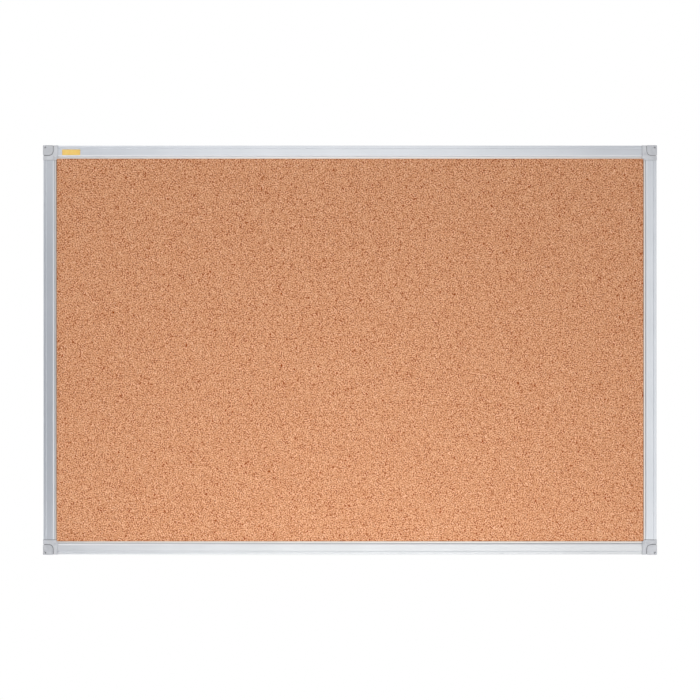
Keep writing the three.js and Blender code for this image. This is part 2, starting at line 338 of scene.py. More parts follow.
    def noise(self, point: Source, size: float, octaves: float, rough: float) -> Socket:
        """Gives a noise that varies round one half.

        Args:
            point: Coordinates to read the noise at.
            size: Length of one wave, in the coordinates' unit.
            octaves: Number of finer octaves.
            rough: Share that each finer octave keeps.

        Returns:
            The output with the noise.
        """
        node = self.add("ShaderNodeTexNoise")
        self.fill(node, Vector=point, Scale=1 / size, Detail=octaves, Roughness=rough)
        return node.outputs["Fac"]

    def ramp(self, value: Source, stops: tuple[tuple[float, Colour], ...]) -> Socket:
        """Turns a number into a colour.

        Args:
            value: The number, from 0 to 1.
            stops: Places and colours of the ramp, in order.

        Returns:
            The output with the colour.
        """
        node = self.add("ShaderNodeValToRGB")
        elements = node.color_ramp.elements
        for index, (place, colour) in enumerate(stops):
            element = elements[index] if index < len(elements) else elements.new(place)
            element.position = place
            element.color = colour
        self.feed(node.inputs[0], value)
        return node.outputs["Color"]

    def place(self, group: Tree, **values: Source) -> Node:
        """Places a node group.

        Args:
            group: The group to place.
            **values: What its inputs take, by their names.

        Returns:
            The group's node.
        """
        node = self.add("ShaderNodeGroup", node_tree=group)
        self.fill(node, **values)
        return node

    def bump(self, height: Source, depth: float, under: Socket | None = None) -> Socket:
        """Raises the surface.

        Args:
            height: Output from 0 to 1.
            depth: Real height of 1, in metres.
            under: Normal of a coarser relief underneath.

        Returns:
            The output with the normal.
        """
        node = self.add("ShaderNodeBump")
        self.fill(node, Strength=1.0, Distance=depth, Height=height)
        if under is not None:
            self.fill(node, Normal=under)
        return node.outputs["Normal"]


def start_group(
    name: str, results: tuple[str, ...], **inputs: float | Triple
) -> tuple[Bench, bpy.types.NodeOutputs, Node]:
    """Starts a shared node group.

    Args:
        name: The group's name.
        results: Names of its outputs, which are all numbers.
        **inputs: What its inputs hold where nothing is fed to them.

    Returns:
        The group's bench, what is given to the group, and the node that takes its results.
    """
    tree = bpy.data.node_groups.new(name, "ShaderNodeTree")
    for title, value in inputs.items():
        kind = "NodeSocketVector" if isinstance(value, tuple) else "NodeSocketFloat"
        tree.interface.new_socket(name=title, in_out="INPUT", socket_type=kind).default_value = value
    for title in results:
        tree.interface.new_socket(name=title, in_out="OUTPUT", socket_type="NodeSocketFloat")
    bench = Bench(tree)
    return bench, bench.add("NodeGroupInput").outputs, bench.add("NodeGroupOutput")


def make_granules() -> Tree:
    """Builds the group of cut granules pressed together, which reach right through the sheet.

    Returns:
        The group. Tone and Pick are random for each granule, Edge is the distance to the granule's
        border and Dome is its rounding, both as a share of its size.
    """
    waves_per_granule = 1.7
    results = ("Tone", "Pick", "Edge", "Dome")
    bench, given, outlet = start_group("pressed_granules", results, Size=2.0 * MM, Warp=0.25, Shift=0.0)
    shifted = bench.vector("ADD", bench.here(), given["Shift"])
    sized = bench.shrink(shifted, given["Size"])
    wave = bench.add("ShaderNodeTexNoise")
    bench.fill(wave, Vector=sized, Scale=waves_per_granule)
    centred = bench.vector("SUBTRACT", wave.outputs["Color"], (0.5, 0.5, 0.5))
    warped = bench.vector("ADD", sized, bench.scale(centred, given["Warp"]))
    level = bench.seen_flat(warped)
    cells = bench.add("ShaderNodeTexVoronoi", feature="F1", voronoi_dimensions="2D")
    edges = bench.add("ShaderNodeTexVoronoi", feature="DISTANCE_TO_EDGE", voronoi_dimensions="2D")
    for node in (cells, edges):
        bench.fill(node, Vector=level, Scale=1.0)
    parts = bench.add("ShaderNodeSeparateColor")
    bench.fill(parts, Color=cells.outputs["Color"])
    bench.fill(outlet, Tone=parts.outputs[0], Pick=parts.outputs[1], Edge=edges.outputs["Distance"])
    bench.fill(outlet, Dome=bench.minus(1.0, cells.outputs["Distance"]))
    return bench.tree


def make_crushed_relief() -> Tree:
    """Builds the group of even, crowded humps that pressing leaves on the granules.

    Returns:
        The group, with a Height round one half. Size is the length from hump to hump.
    """
    waves_per_patch = 2.0
    bench, given, outlet = start_group("crushed_relief", ("Height",), Size=3.0 * MM)
    patches = bench.math("DIVIDE", 1 / waves_per_patch, given["Size"])
    humps = bench.add("ShaderNodeTexGabor", gabor_type="2D")
    bench.fill(humps, Vector=bench.seen_flat(bench.here()), Scale=patches)
    bench.fill(humps, Frequency=waves_per_patch, Anisotropy=0.0)
    bench.fill(outlet, Height=humps.outputs["Value"])
    return bench.tree


def make_fine_grain() -> Tree:
    """Builds the group of a fine grain without direction.

    Returns:
        The group. Tone is soft and broad, Height is the grain itself, both round one half.
    """
    rough = 0.55
    bench, given, outlet = start_group("fine_grain", ("Tone", "Height"), Size=0.3 * MM, Cloud=20 * MM)
    place = bench.here()
    bench.fill(
        outlet,
        Tone=bench.noise(bench.shrink(place, given["Cloud"]), 1.0, 3.0, rough),
        Height=bench.noise(bench.shrink(place, given["Size"]), 1.0, 2.0, rough),
    )
    return bench.tree


def make_drawn_lines() -> Tree:
    """Builds the group of the fine lines that an extrusion die or a brush leaves.

    Returns:
        The group. Along is a unit vector, Tone the lines' lightness and Height their relief.
    """
    rough = 0.6
    lines_per_streak = 6.0
    bench, given, outlet = start_group(
        "drawn_lines", ("Tone", "Height"), Along=Run.ALONG_X.along, Pitch=0.4 * MM, Length=300 * MM
    )
    place = bench.here()
    lengthwise = bench.scale(given["Along"], bench.vector("DOT_PRODUCT", place, given["Along"]))
    sidewise = bench.vector("SUBTRACT", place, lengthwise)
    stretched = bench.shrink(lengthwise, given["Length"])
    point = bench.vector("ADD", stretched, bench.shrink(sidewise, given["Pitch"]))
    bench.fill(
        outlet,
        Tone=bench.noise(point, lines_per_streak, 4.0, rough),
        Height=bench.noise(point, 1.0, 3.0, rough),
    )
    return bench.tree


def make_edge_rub() -> Tree:
    """Builds the group that finds the edges which handling rubs bright.

    Returns:
        The group, with a Mask from 0 on faces to 1 on edges.
    """
    flat_point = 0.5
    first_sign = 0.15
    bench, given, outlet = start_group("edge_rub", ("Mask",), Reach=0.06)
    past = bench.minus(bench.add("ShaderNodeNewGeometry").outputs["Pointiness"], flat_point)
    share = bench.math("DIVIDE", past, given["Reach"])
    bench.fill(outlet, Mask=bench.spread(share, first_sign, 1.0, 0.0, 1.0))
    return bench.tree


@dataclass(frozen=True)
class SharedGroups:
    """The node groups that the finishes share, built once."""

    granules: Tree
    humps: Tree
    grain: Tree
    lines: Tree
    rub: Tree

    @classmethod
    def build(cls) -> "SharedGroups":
        """Builds every group."""
        makers = (make_granules, make_crushed_relief, make_fine_grain, make_drawn_lines, make_edge_rub)
        return cls(*(make() for make in makers))


def new_material(name: str) -> bpy.types.Material:
    """Makes a material with a plain surface shader.

    Args:
        name: Name of the material.

    Returns:
        The material.
    """
    made = bpy.data.materials.new(name)
    made.use_nodes = True
    return made


@dataclass(frozen=True)
class Finish:
    """A finish, which paints its own material once."""

    name: str

    def material(self, groups: SharedGroups) -> bpy.types.Material:
        """Gives the finish's material.

        Args:
            groups: The shared node groups.

        Returns:
            The material, made on the first call.
        """
        found = bpy.data.materials.get(self.name)
        if found is not None:
            return found
        made = new_material(self.name)
        self.paint(Bench(made.node_tree), groups)
        return made

    def paint(self, bench: Bench, groups: SharedGroups) -> None:
        """Sets up the surface shader; each finish has its own way."""
        raise NotImplementedError

    def lay(self, piece: bpy.types.Object, groups: SharedGroups) -> None:
        """Puts the finish on a piece in place of what it had.

        Args:
            piece: The piece to finish.
            groups: The shared node groups.
        """
        if not piece.material_slots:
            piece.data.materials.append(None)
        for place in piece.material_slots:
            place.material = self.material(groups)


@dataclass(frozen=True)
class Rub:
    """Edges that handling has rubbed bright; the larger the reach, the sharper they have to be."""

    tone: Colour
    reach: float
    share: float = 1.0

    def brighten(self, bench: Bench, groups: SharedGroups, clean: Source) -> Socket:
        """Lays the rubbed tone on the edges of a clean colour."""
        mask = bench.place(groups.rub, Reach=self.reach).outputs["Mask"]
        return bench.mix(bench.times(mask, self.share), clean, self.tone)


@dataclass(frozen=True)
class CorkFinish(Finish):
    """Granulated cork: crushed, domed granules of many browns with crumbs and dark bark among them.

    The tone runs from 0, the dark brown, to 1, the pale one. Each swing says by how much a thing moves
    the tone, and each share says how much of the sheet is bark, flecks or pale crumbs.
    """

    granule: float = 2.0 * MM
    crumb: float = 1.1 * MM
    crumb_shift: float = 0.37
    warp: float = 0.2
    hump: float = 3.26 * MM
    pore: float = 0.3 * MM
    relief: float = 0.06 * MM
    pore_relief: float = 0.024 * MM
    dark: Colour = (0.31, 0.045, 0.0, 1.0)
    tan: Colour = (0.712, 0.327, 0.161, 1.0)
    pale: Colour = (0.98, 0.64, 0.43, 1.0)
    middle_tone: float = 0.5
    granule_swing: float = 0.05
    crumb_swing: float = 0.35
    dome_shading_swing: float = 0.33
    hump_swing: float = 0.8
    pore_swing: float = 0.05
    dome_reach: Pair = (0.4, 0.75)
    bark_share: float = 0.055
    bark_tone: float = -1.0
    fleck_share: float = 0.006
    fleck_tone: float = -0.5
    pale_share: float = 0.02
    pale_tone: float = 0.4
    share_border: float = 0.01
    height_swing: float = 0.5
    rim_width: float = 0.12
    rim_height: float = 0.4
    rough: float = 0.88
    specular: float = 0.05

    def tone(self, bench: Bench, large: Node, small: Node, humps: Node, grain: Node) -> Socket:
        """Works out how light the cork is.

        Args:
            bench: Bench of the material's tree.
            large: The granules.
            small: The crumbs.
            humps: The humps.
            grain: The pores.

        Returns:
            The output with the tone.
        """
        # Painted shading of each granule's dome, lighter in its middle; its darker joints are also real
        low = self.middle_tone - self.dome_shading_swing / 2
        tone = bench.spread(large.outputs["Dome"], *self.dome_reach, low, low + self.dome_shading_swing)
        swings = (
            (large.outputs["Tone"], self.granule_swing),
            (small.outputs["Tone"], self.crumb_swing),
            (humps.outputs["Height"], self.hump_swing),
        )
        for source, swing in swings:
            tone = bench.plus(tone, bench.times(bench.minus(source, 0.5), swing))
        border = self.share_border
        bark_start = 1 - self.bark_share
        fleck_end = 1 - self.fleck_share
        offsets = (
            bench.swing(grain.outputs["Height"], -self.pore_swing, self.pore_swing),
            bench.spread(small.outputs["Pick"], bark_start, bark_start + border, 0.0, self.bark_tone),
            bench.spread(large.outputs["Pick"], fleck_end - border / 2, fleck_end, 0.0, self.fleck_tone),
            bench.spread(
                small.outputs["Pick"], self.pale_share, self.pale_share + border, self.pale_tone, 0.0
            ),
        )
        for offset in offsets:
            tone = bench.plus(tone, offset)
        return tone

    def paint(self, bench: Bench, groups: SharedGroups) -> None:
        """Sets up the cork's surface.

        Args:
            bench: Bench of the material's tree.
            groups: The shared node groups.
        """
        large = bench.place(groups.granules, Size=self.granule, Warp=self.warp)
        small = bench.place(groups.granules, Size=self.crumb, Warp=self.warp, Shift=self.crumb_shift)
        humps = bench.place(groups.humps, Size=self.hump)
        grain = bench.place(groups.grain, Size=self.pore)
        browns = ((0.0, self.dark), (0.5, self.tan), (1.0, self.pale))
        raised = bench.plus(bench.times(large.outputs["Pick"], self.height_swing), large.outputs["Dome"])
        rim = bench.spread(large.outputs["Edge"], 0.0, self.rim_width, self.rim_height, 1.0)
        coarse = bench.bump(bench.times(raised, rim), self.relief)
        bench.coat(
            Base_Color=bench.ramp(self.tone(bench, large, small, humps, grain), browns),
            Roughness=self.rough,
            Specular_IOR_Level=self.specular,
            Normal=bench.bump(grain.outputs["Height"], self.pore_relief, coarse),
        )


@dataclass(frozen=True)
class FibreFinish(Finish):
    """Matted fibres, as in softboard or brown paper."""

    light: Colour = shade(176, 148, 112)
    dark: Colour = shade(136, 108, 76)
    fibre: float = 0.5 * MM
    cloud: float = 14 * MM
    relief: float = 0.08 * MM
    mottle_reach: Pair = (0.8, 1.35)
    rough: float = 0.9
    specular: float = 0.3

    def paint(self, bench: Bench, groups: SharedGroups) -> None:
        """Sets up the fibrous surface.

        Args:
            bench: Bench of the material's tree.
            groups: The shared node groups.
        """
        grain = bench.place(groups.grain, Size=self.fibre, Cloud=self.cloud)
        level, upright = (
            bench.place(groups.lines, Along=run.along, Pitch=self.fibre, Length=self.cloud) for run in Run
        )
        matted = bench.math("MAXIMUM", level.outputs["Height"], upright.outputs["Height"])
        mottle = bench.plus(matted, grain.outputs["Tone"])
        bench.coat(
            Base_Color=bench.between(mottle, self.mottle_reach, self.dark, self.light),
            Roughness=self.rough,
            Specular_IOR_Level=self.specular,
            Normal=bench.bump(bench.plus(matted, grain.outputs["Height"]), self.relief),
        )


@dataclass(frozen=True)
class Band:
    """A strip along a rail, placed from the rail's outer edge, whose tint is painted light or shade; it may
    lean towards the cork.
    """

    start: float
    end: float
    tint: Colour
    share: float
    fall: float = 0.0

    def mask(self, bench: Bench, inset: Socket) -> Socket:
        """Finds how much of the tint lies at a distance from the rail's outer edge."""
        begun = bench.step(inset, self.start, 0.0, self.share)
        return bench.times(begun, bench.step(inset, self.end, 1.0, 0.0))


@dataclass(frozen=True)
class AnodisedFinish(Finish):
    """Natural satin anodised aluminium with the fine lines of its extrusion.

    The rail's outer edge and half its length are measured from the board's middle. The two end shade shares
    say how much painted shadow of the butt gap lies at the rail's lower or left end, and at its upper or
    right one.
    """

    run: Run
    outer_edge: float
    half_length: float
    bands: tuple[Band, ...]
    light: Colour
    dark: Colour
    end_shade_shares: Pair
    end_shade_tone: Colour = shade(128, 130, 134)
    end_shade_reach: float = 0.45 * MM
    rub: Rub = Rub(shade(218, 220, 223), 0.05, 0.35)
    line_pitch: float = 0.22 * MM
    line_length: float = 240 * MM
    line_depth: float = 0.003 * MM
    grain: float = 0.12 * MM
    grain_depth: float = 0.0015 * MM
    cloud: float = 60 * MM
    drawn_reach: Pair = (0.75, 1.25)
    rough: Pair = (0.34, 0.42)
    anisotropy: float = 0.45

    def profile(self, bench: Bench, colour: Source) -> tuple[Socket, Socket]:
        """Paints the bands' light and shade, and the thin painted shadow of the butt gap at both ends.

        Args:
            bench: Bench of the material's tree.
            colour: The metal's colour or output.

        Returns:
            The tinted colour and the height of the bands.
        """
        across = bench.vector("DOT_PRODUCT", bench.here(), self.run.across)
        along = bench.vector("DOT_PRODUCT", bench.here(), self.run.along)
        inset = bench.minus(self.outer_edge, bench.absolute(across))
        height = 0.0
        for band in self.bands:
            colour = bench.mix(band.mask(bench, inset), colour, band.tint)
            height = bench.plus(height, bench.spread(inset, band.start, band.end, 0.0, -band.fall))
        # Painted shadow of the butt gap against the corner, a thin dark line at each end
        end = bench.step(bench.absolute(along), self.half_length - self.end_shade_reach, 0.0, 1.0)
        share = bench.step(along, 0.0, *self.end_shade_shares)
        return bench.mix(bench.times(end, share), colour, self.end_shade_tone), height

    def paint(self, bench: Bench, groups: SharedGroups) -> None:
        """Sets up the metal's surface.

        Args:
            bench: Bench of the material's tree.
            groups: The shared node groups.
        """
        lines = bench.place(
            groups.lines, Along=self.run.along, Pitch=self.line_pitch, Length=self.line_length
        )
        grain = bench.place(groups.grain, Size=self.grain, Cloud=self.cloud)
        drawn = bench.plus(lines.outputs["Tone"], grain.outputs["Tone"])
        clean = bench.between(drawn, self.drawn_reach, self.dark, self.light)
        tinted, height = self.profile(bench, self.rub.brighten(bench, groups, clean))
        across = bench.add("ShaderNodeCombineXYZ")
        for socket, number in zip(across.inputs, self.run.across):
            bench.feed(socket, number)
        relief = bench.bump(lines.outputs["Height"], self.line_depth, bench.bump(height, 1.0))
        bench.coat(
            Base_Color=tinted,
            Metallic=1.0,
            Roughness=bench.swing(lines.outputs["Height"], *self.rough),
            Anisotropic=self.anisotropy,
            Tangent=across.outputs[0],
            Normal=bench.bump(grain.outputs["Height"], self.grain_depth, relief),
        )


@dataclass(frozen=True)
class MouldedFinish(Finish):
    """Grey moulded plastic with a fine spark texture, a little paler where its edges are rubbed.

    The seam is the fine gap round the cap's inner corner, which is an arc about the seam's centre. Its
    walls near the front get painted shade.
    """

    light: Colour
    dark: Colour
    rub: Rub
    spark: float = 0.28 * MM
    cloud: float = 7 * MM
    spark_share: float = 0.6
    mottle_reach: Pair = (0.6, 1.0)
    relief: float = 0.02 * MM
    rough: Pair = (0.46, 0.6)
    seam_centre: Triple = (442.2 * MM, 0.0, 292.2 * MM)
    seam_radius: float = 7.0 * MM
    seam_reach: float = 0.45 * MM
    seam_border: float = 0.09 * MM
    seam_front: float = -17.25 * MM
    seam_front_border: float = 0.3 * MM
    seam_back: float = -14.25 * MM
    seam_back_border: float = 0.5 * MM
    seam_shade_tone: Colour = shade(84, 85, 88)
    seam_shade_share: float = 0.85

    def seam(self, bench: Bench) -> Socket:
        """Finds the walls of the fine gap between cap and corner near the front, where shade is painted.

        Args:
            bench: Bench of the material's tree.

        Returns:
            The output, 1 in the gap near the front.
        """
        place = bench.here()
        inward = bench.vector("SUBTRACT", self.seam_centre, bench.vector("ABSOLUTE", place))
        reach = bench.vector("LENGTH", bench.vector("MAXIMUM", inward))
        off = bench.absolute(bench.minus(reach, self.seam_radius))
        near = bench.spread(off, self.seam_reach - self.seam_border, self.seam_reach, 1.0, 0.0)
        _, depth, _ = bench.split(place)
        begun = bench.spread(depth, self.seam_front, self.seam_front + self.seam_front_border, 0.0, 1.0)
        left = bench.spread(depth, self.seam_back, self.seam_back + self.seam_back_border, 1.0, 0.0)
        return bench.times(near, bench.times(begun, left))

    def paint(self, bench: Bench, groups: SharedGroups) -> None:
        """Sets up the plastic's surface.

        Args:
            bench: Bench of the material's tree.
            groups: The shared node groups.
        """
        grain = bench.place(groups.grain, Size=self.spark, Cloud=self.cloud)
        height = grain.outputs["Height"]
        mottle = bench.plus(grain.outputs["Tone"], bench.times(height, self.spark_share))
        clean = bench.between(mottle, self.mottle_reach, self.dark, self.light)
        worn = self.rub.brighten(bench, groups, clean)
        # Painted shade on the walls of the gap between cap and corner
        gap_shade = bench.times(self.seam(bench), self.seam_shade_share)
        bench.coat(
            Base_Color=bench.mix(gap_shade, worn, self.seam_shade_tone),
            Roughness=bench.swing(height, *self.rough),
            Normal=bench.bump(height, self.relief),
        )


@dataclass(frozen=True)
class ZincFinish(Finish):
    """Bright zinc plating with a faint blue and yellow bloom."""

    blue: Colour = (0.66, 0.69, 0.73, 1.0)
    warm: Colour = (0.74, 0.72, 0.66, 1.0)
    rub: Rub = Rub((0.8, 0.8, 0.8, 1.0), 0.08)
    grain: float = 0.15 * MM
    grain_depth: float = 0.004 * MM
    cloud: float = 2.5 * MM
    bloom_reach: Pair = (0.35, 0.65)
    rough: Pair = (0.24, 0.36)

    def paint(self, bench: Bench, groups: SharedGroups) -> None:
        """Sets up the plated surface.

        Args:
            bench: Bench of the material's tree.
            groups: The shared node groups.
        """
        grain = bench.place(groups.grain, Size=self.grain, Cloud=self.cloud)
        bloom = bench.between(grain.outputs["Tone"], self.bloom_reach, self.blue, self.warm)
        bench.coat(
            Base_Color=self.rub.brighten(bench, groups, bloom),
            Metallic=1.0,
            Roughness=bench.swing(grain.outputs["Height"], *self.rough),
            Normal=bench.bump(grain.outputs["Height"], self.grain_depth),
        )


@dataclass(frozen=True)
class FoilFinish(Finish):
    """Gold printed film with a fine darker line round it, left bare inside."""

    middle: Triple
    half_width: float
    half_height: float
    slot: str = "label"
    gold: Colour = shade(255, 221, 129)
    deep: Colour = shade(253, 207, 107)
    line: Colour = shade(196, 142, 58)
    line_inset: float = 0.55 * MM
    line_fade: Pair = (0.088 * MM, 0.132 * MM)
    brush_pitch: float = 0.12 * MM
    grain: float = 0.1 * MM
    grain_depth: float = 0.004 * MM
    cloud: float = 9 * MM
    sheen_reach: Pair = (0.7, 1.3)
    metallic: float = 0.25
    rough: Pair = (0.3, 0.42)

    def border_line(self, bench: Bench) -> Socket:
        """Finds the fine line that runs round the film near its edge.

        Args:
            bench: Bench of the material's tree.

        Returns:
            The output, 1 on the line.
        """
        sideways, _, upwards = bench.split(bench.vector("SUBTRACT", bench.here(), self.middle))
        past_side = bench.minus(bench.absolute(sideways), self.half_width)
        past_end = bench.minus(bench.absolute(upwards), self.half_height)
        inset = bench.absolute(bench.math("MAXIMUM", past_side, past_end))
        off_line = bench.absolute(bench.minus(inset, self.line_inset))
        return bench.spread(off_line, *self.line_fade, 1.0, 0.0)

    def paint(self, bench: Bench, groups: SharedGroups) -> None:
        """Sets up the film's surface.

        Args:
            bench: Bench of the material's tree.
            groups: The shared node groups.
        """
        lines = bench.place(
            groups.lines, Along=Run.ALONG_X.along, Pitch=self.brush_pitch, Length=self.cloud
        )
        grain = bench.place(groups.grain, Size=self.grain, Cloud=self.cloud)
        sheen = bench.plus(lines.outputs["Tone"], grain.outputs["Tone"])
        ground = bench.between(sheen, self.sheen_reach, self.deep, self.gold)
        bench.coat(
            Base_Color=bench.mix(self.border_line(bench), ground, self.line),
            Metallic=self.metallic,
            Roughness=bench.swing(lines.outputs["Height"], *self.rough),
            Normal=bench.bump(grain.outputs["Height"], self.grain_depth),
        )


def make_soft_edges() -> Tree:
    """Builds the geometry group that shades round facets smoothly and keeps real edges sharp.

    Returns:
        The geometry node group.
    """
    least_sharp = math.radians(38)
    tree = bpy.data.node_groups.new("smooth_round_facets", "GeometryNodeTree")
    tree.is_modifier = True
    for way in ("INPUT", "OUTPUT"):
        tree.interface.new_socket(name="Geometry", in_out=way, socket_type="NodeSocketGeometry")
    bench = Bench(tree)
    inlet = bench.add("NodeGroupInput")
    outlet = bench.add("NodeGroupOutput")
    faces = bench.add("GeometryNodeSetShadeSmooth", domain="FACE")
    edges = bench.add("GeometryNodeSetShadeSmooth", domain="EDGE")
    angle = bench.add("GeometryNodeInputMeshEdgeAngle")
    sharp = bench.add("FunctionNodeCompare", data_type="FLOAT", operation="GREATER_THAN")
    bench.feed(sharp.inputs[0], angle.outputs["Unsigned Angle"])
    bench.feed(sharp.inputs[1], least_sharp)
    bench.fill(faces, Geometry=inlet.outputs[0])
    bench.fill(edges, Geometry=faces.outputs[0], Selection=sharp.outputs[0], Shade_Smooth=False)
    bench.fill(outlet, Geometry=edges.outputs[0])
    return tree


@dataclass
class EdgeSoftener:
    """Gives the sharp edges of a piece the small rounding that the real one has."""

    weld: float = 0.001 * MM
    sharp_angle: float = math.radians(35)
    steps: int = 2
    shading: Tree = field(default_factory=make_soft_edges)

    def soften(self, piece: bpy.types.Object, radius: float) -> None:
        """Adds the modifiers that round and shade the edges.

        Args:
            piece: The piece to soften.
            radius: Width of the rounding.
        """
        joined = piece.modifiers.new("joined_facets", "WELD")
        joined.merge_threshold = self.weld
        rounded = piece.modifiers.new("rounded_edges", "BEVEL")
        rounded.width = radius
        rounded.segments = self.steps
        rounded.limit_method = "ANGLE"
        rounded.angle_limit = self.sharp_angle
        rounded.use_clamp_overlap = True
        smooth = piece.modifiers.new("smooth_facets", "NODES")
        smooth.node_group = self.shading
        flat = piece.modifiers.new("flat_faces", "WEIGHTED_NORMAL")
        flat.keep_sharp = True


@dataclass
class Workshop:
    """What every sub-assembly needs to dress its pieces."""

    groups: SharedGroups
    softener: EdgeSoftener

    def dress(self, node: str, finish: Finish, edge: float) -> None:
        """Finishes a piece of the frame and rounds its edges.

        Args:
            node: Name of the piece.
            finish: Its finish.
            edge: Radius of its edges.
        """
        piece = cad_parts[node]
        finish.lay(piece, self.groups)
        self.softener.soften(piece, edge)
        log.info("dressed %s in %s", node, finish.name)


@dataclass
class Panel:
    """The pinning panel: cork on softboard, with a paper sheet on the back."""

    cork_edge: float = 0.12 * MM
    sheet_edge: float = 0.08 * MM
    cork: CorkFinish = CorkFinish("granulated_cork")
    softboard: FibreFinish = FibreFinish("softboard")
    paper: FibreFinish = FibreFinish(
        "brown_paper",
        light=shade(200, 178, 146),
        dark=shade(184, 160, 128),
        fibre=0.9 * MM,
        cloud=24 * MM,
        relief=0.05 * MM,
    )

    def dress(self, shop: Workshop) -> None:
        """Finishes the three layers.

        Args:
            shop: The shared groups and tools.
        """
        shop.dress("cork_sheet", self.cork, self.cork_edge)
        shop.dress("core_board", self.softboard, self.sheet_edge)
        shop.dress("backing_sheet", self.paper, self.sheet_edge)


@dataclass
class RailFrame:
    """The four rails and the eight screws that hold them to the corners.

    A pair of metal tones holds the light one and the dark one.
    """

    rail_edge: float = 0.14 * MM
    screw_edge: float = 0.1 * MM
    screw: ZincFinish = ZincFinish("zinc_plate")
    bands: tuple[Band, ...] = (
        # Painted highlight on the fine groove near the outer edge
        Band(LINE_START, LINE_END, shade(236, 238, 242), 0.5, fall=0.35 * MM),
        # Painted highlight on the slope down to the groove
        Band(FACE_END, SLOPE_END, shade(228, 230, 234), 0.9),
        # Painted warm reflection of the cork on the lip
        Band(SEAM_END, LIP_END, shade(228, 216, 203), 0.6),
    )
    # Painted highlight in the groove beside the top rail's lip
    top_seam: Band = Band(SLOPE_END, SEAM_END, shade(240, 242, 246), 0.3, fall=0.5 * MM)
    # Painted shade in the groove beside the lip of the bottom rail and of the side rails
    bottom_seam: Band = Band(SLOPE_END, SEAM_END, shade(150, 152, 156), 0.4, fall=0.5 * MM)
    side_seam: Band = Band(SLOPE_END, SEAM_END, shade(150, 152, 156), 0.17, fall=0.5 * MM)
    # Painted shadow where the side rails' lip meets the cork
    side_lip: Band = Band(LIP_ROUND, LIP_END, shade(120, 100, 84), 0.6)
    cool: tuple[Colour, Colour] = (shade(202, 205, 210), shade(193, 197, 202))
    # Painted reflection: the bottom rail gets a less blue copy of the metal for the warmer light it
    # reflects
    neutral: tuple[Colour, Colour] = (shade(205, 206, 207), shade(196, 198, 199))
    # Shares of painted shadow at the rails' lower or left ends and at their upper or right ends
    level_end_shade: Pair = (0.1, 0.35)
    upright_end_shade: Pair = (1.0, 0.1)

    def metal(self, side: Side) -> AnodisedFinish:
        """Gives the metal of one rail.

        Args:
            side: The rail's side.

        Returns:
            The finish, set to the rail's size.
        """
        low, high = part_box(f"rail_{side.word}")
        own = {Side.TOP: (self.top_seam,), Side.BOTTOM: (self.bottom_seam,)}
        light, dark = self.neutral if side is Side.BOTTOM else self.cool
        return AnodisedFinish(
            f"anodised_{side.word}",
            run=side.run,
            outer_edge=max(abs(corner.dot(Vector(side.run.across))) for corner in (low, high)),
            half_length=high.dot(Vector(side.run.along)),
            bands=self.bands + own.get(side, (self.side_seam, self.side_lip)),
            light=light,
            dark=dark,
            end_shade_shares=self.upright_end_shade if side.run is Run.ALONG_Z else self.level_end_shade,
        )

    def dress(self, shop: Workshop) -> None:
        """Finishes the rails and their screws.

        Args:
            shop: The shared groups and tools.
        """
        for side in Side:
            shop.dress(f"rail_{side.word}", self.metal(side), self.rail_edge)
            for end in side.screw_ends:
                shop.dress(f"frame_screw_{side.word}_{end}", self.screw, self.screw_edge)


@dataclass
class CornerSet:
    """The four moulded corners with their lift-off caps.

    Levels are the red ones of the light, the dark and the rubbed places. Green and blue are a little
    higher, and the light shifts paint each corner's pieces some levels lighter or darker, for the light
    that falls there.
    """

    edge: float = 0.16 * MM
    green_extra: int = 2
    blue_extra: int = 7
    rub_reach: float = 0.08
    rub_share: float = 0.5
    body_levels: Levels = (199, 189, 214)
    cap_levels: Levels = (194, 182, 208)
    # Painted light: levels by which each corner's body and cap are lighter, in the order of Corner
    body_light_shifts: tuple[int, int, int, int] = (3, 13, 10, -4)
    cap_light_shifts: tuple[int, int, int, int] = (1, 7, 15, 0)

    def plastic(self, kind: str, corner: Corner, levels: Levels, shift: int) -> MouldedFinish:
        """Mixes the cool grey of one piece, painted lighter or darker for the light at its corner.

        Args:
            kind: Word for the kind of piece.
            corner: The corner that the piece belongs to.
            levels: Red levels of its light, dark and rubbed places.
            shift: Levels by which the piece is painted lighter, for the light at its corner.

        Returns:
            The finish.
        """
        reds = [level + shift for level in levels]
        light, dark, rubbed = (shade(red, red + self.green_extra, red + self.blue_extra) for red in reds)
        rub = Rub(rubbed, self.rub_reach, self.rub_share)
        return MouldedFinish(f"{kind}_plastic_{corner.value}", light, dark, rub)

    def dress(self, shop: Workshop) -> None:
        """Finishes the bodies and caps.

        Args:
            shop: The shared groups and tools.
        """
        for corner, body_light_shift, cap_light_shift in zip(Corner, self.body_light_shifts, self.cap_light_shifts):
            body = self.plastic("corner", corner, self.body_levels, body_light_shift)
            cap = self.plastic("cap", corner, self.cap_levels, cap_light_shift)
            shop.dress(f"corner_body_{corner.value}", body, self.edge)
            shop.dress(f"corner_cap_{corner.value}", cap, self.edge)


def add_object(name: str, data: bpy.types.ID) -> bpy.types.Object:
    """Adds an object to the scene.

    Args:
        name: Name of the object.
        data: Its mesh, lamp or lens.

    Returns:
        The object.
    """
    item = bpy.data.objects.new(name, data)
    bpy.context.scene.collection.objects.link(item)
    return item


def add_shape(name: str, shape: bmesh.types.BMesh) -> bpy.types.Object:
    """Adds a shape to the scene as an object, and frees what it was worked out in.

    Args:
        name: Name of the object and its mesh.
        shape: The shape.

    Returns:
        The object.
    """
    mesh = bpy.data.meshes.new(name)
    shape.to_mesh(mesh)
    shape.free()
    return add_object(name, mesh)


